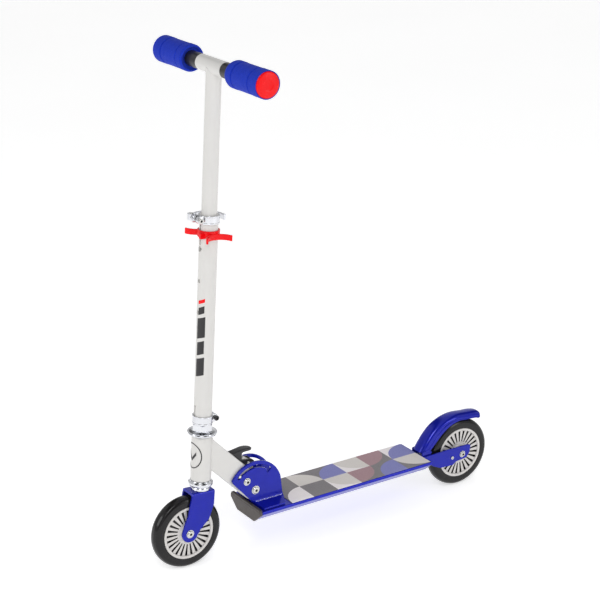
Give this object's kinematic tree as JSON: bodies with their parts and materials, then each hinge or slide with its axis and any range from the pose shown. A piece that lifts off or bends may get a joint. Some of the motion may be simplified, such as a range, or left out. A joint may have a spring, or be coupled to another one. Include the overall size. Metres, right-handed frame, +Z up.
{
  "type": "kick scooter",
  "caption": "Child's folding kick scooter: flat deck, small wheels, heel brake, folding neck, steering column of adjustable height and pull-out foam handlebar grips",
  "frame": {"origin": "on the floor, at the centre of the bounding box, midway between the axles", "axes": "+X the way the scooter travels, +Y to the rider's left, +Z up; unfolded, steering straight, handlebar at its highest setting"},
  "size_m": [0.6869, 0.309, 0.8508],
  "materials": {
    "deck_metal": "blue anodised, satin",
    "tape": "printed grit sheet",
    "dark_plastic": "moulded",
    "black_plastic": "moulded",
    "blue_paint": "gloss",
    "white_paint": "gloss powder coat",
    "steel": "zinc plated",
    "chrome": "polished",
    "red_plastic": "gloss",
    "grip_foam": "matt foam",
    "wheel_tyre": "smooth cast tread",
    "wheel_plastic": "semi-gloss"
  },
  "bodies": {
    "base": {"deck": "deck_metal", "grip_tape": "tape", "deck_front_cap": "dark_plastic", "fold_plate_left": "blue_paint", "fold_plate_right": "blue_paint", "fold_pivot_bolt": "steel", "fold_pivot_nut": "steel", "fold_stop_bolt": "steel", "fold_stop_nut": "steel", "rear_fork_left": "blue_paint", "rear_fork_right": "blue_paint", "rear_fork_screw_left": "steel", "rear_fork_screw_right": "steel", "rear_axle_bolt": "steel", "rear_axle_nut": "steel", "brake_pin": "steel", "brake_spring": "steel"},
    "brake": {"brake_fender": "blue_paint"},
    "rear_wheel": {"rear_tyre": "wheel_tyre", "rear_wheel_core": "wheel_plastic", "rear_bearing_left": "steel", "rear_bearing_right": "steel"},
    "neck": {"neck": "white_paint", "fold_guide_pin": "steel", "latch_pin": "steel", "head_tube": "white_paint", "head_badge": "black_plastic", "headset_upper_cup": "chrome", "headset_lower_cup": "chrome"},
    "latch": {"latch_lever": "black_plastic"},
    "steering": {"fork": "blue_paint", "steerer": "steel", "crown_race": "chrome", "headset_locknut": "chrome", "front_axle_bolt": "steel", "front_axle_nut": "steel", "steering_tube": "white_paint", "lower_clamp": "chrome", "lower_clamp_screw": "steel", "grip_clip": "red_plastic", "top_clamp": "chrome", "top_clamp_screw": "steel", "top_clamp_saddle": "chrome", "clamp_lever_pin": "steel"},
    "front_wheel": {"front_tyre": "wheel_tyre", "front_wheel_core": "wheel_plastic", "front_bearing_left": "steel", "front_bearing_right": "steel"},
    "clamp": {"clamp_lever": "chrome"},
    "handlebar": {"stem": "white_paint", "crossbar": "white_paint"},
    "button": {"height_button": "steel"},
    "handle_left": {"handle_core_left": "black_plastic", "grip_left": "grip_foam", "end_cap_left": "red_plastic"},
    "handle_right": {"handle_core_right": "black_plastic", "grip_right": "grip_foam", "end_cap_right": "red_plastic"}
  },
  "joints": [
    {"name": "fold", "type": "hinge", "parent": "base", "child": "neck", "pos_m": [0.1559, 0, 0.1096], "axis": [0, -1, 0], "range_deg": [0, 84]},
    {"name": "latch_turn", "type": "hinge", "parent": "neck", "child": "latch", "pos_m": [0.163, 0, 0.1575], "axis": [0, -1, 0], "range_deg": [0, 15], "stiffness_Nm_per_rad": 0.2, "springref_deg": -17.19},
    {"name": "steer", "type": "hinge", "parent": "neck", "child": "steering", "pos_m": [0.24759, 0, 0.18966], "axis": [-0.0602, 0, 0.9982], "range_deg": [-80, 80]},
    {"name": "front_spin", "type": "hinge", "parent": "steering", "child": "front_wheel", "pos_m": [0.281, 0, 0.06254], "axis": [0, 1, 0], "continuous": true},
    {"name": "clamp_turn", "type": "hinge", "parent": "steering", "child": "clamp", "pos_m": [0.24393, -0.02, 0.59106], "axis": [-0.0602, 0, 0.9982], "range_deg": [0, 110]},
    {"name": "height", "type": "slide", "parent": "steering", "child": "handlebar", "axis": [-0.0602, 0, 0.9982], "range_m": [-0.1046, 0]},
    {"name": "button_press", "type": "slide", "parent": "handlebar", "child": "button", "axis": [-0.9982, 0, -0.0602], "range_m": [0, 0.002], "stiffness_N_per_m": 200, "springref_m": -0.002},
    {"name": "pull_left", "type": "slide", "parent": "handlebar", "child": "handle_left", "axis": [0, 1, 0], "range_m": [0, 0.04]},
    {"name": "pull_right", "type": "slide", "parent": "handlebar", "child": "handle_right", "axis": [0, -1, 0], "range_m": [0, 0.04]},
    {"name": "rear_spin", "type": "hinge", "parent": "base", "child": "rear_wheel", "pos_m": [-0.281, 0, 0.0625], "axis": [0, 1, 0], "continuous": true},
    {"name": "brake_press", "type": "hinge", "parent": "base", "child": "brake", "pos_m": [-0.201, 0, 0.071], "axis": [0, -1, 0], "range_deg": [0, 7], "stiffness_Nm_per_rad": 1.5, "springref_deg": -8.59}
  ]
}
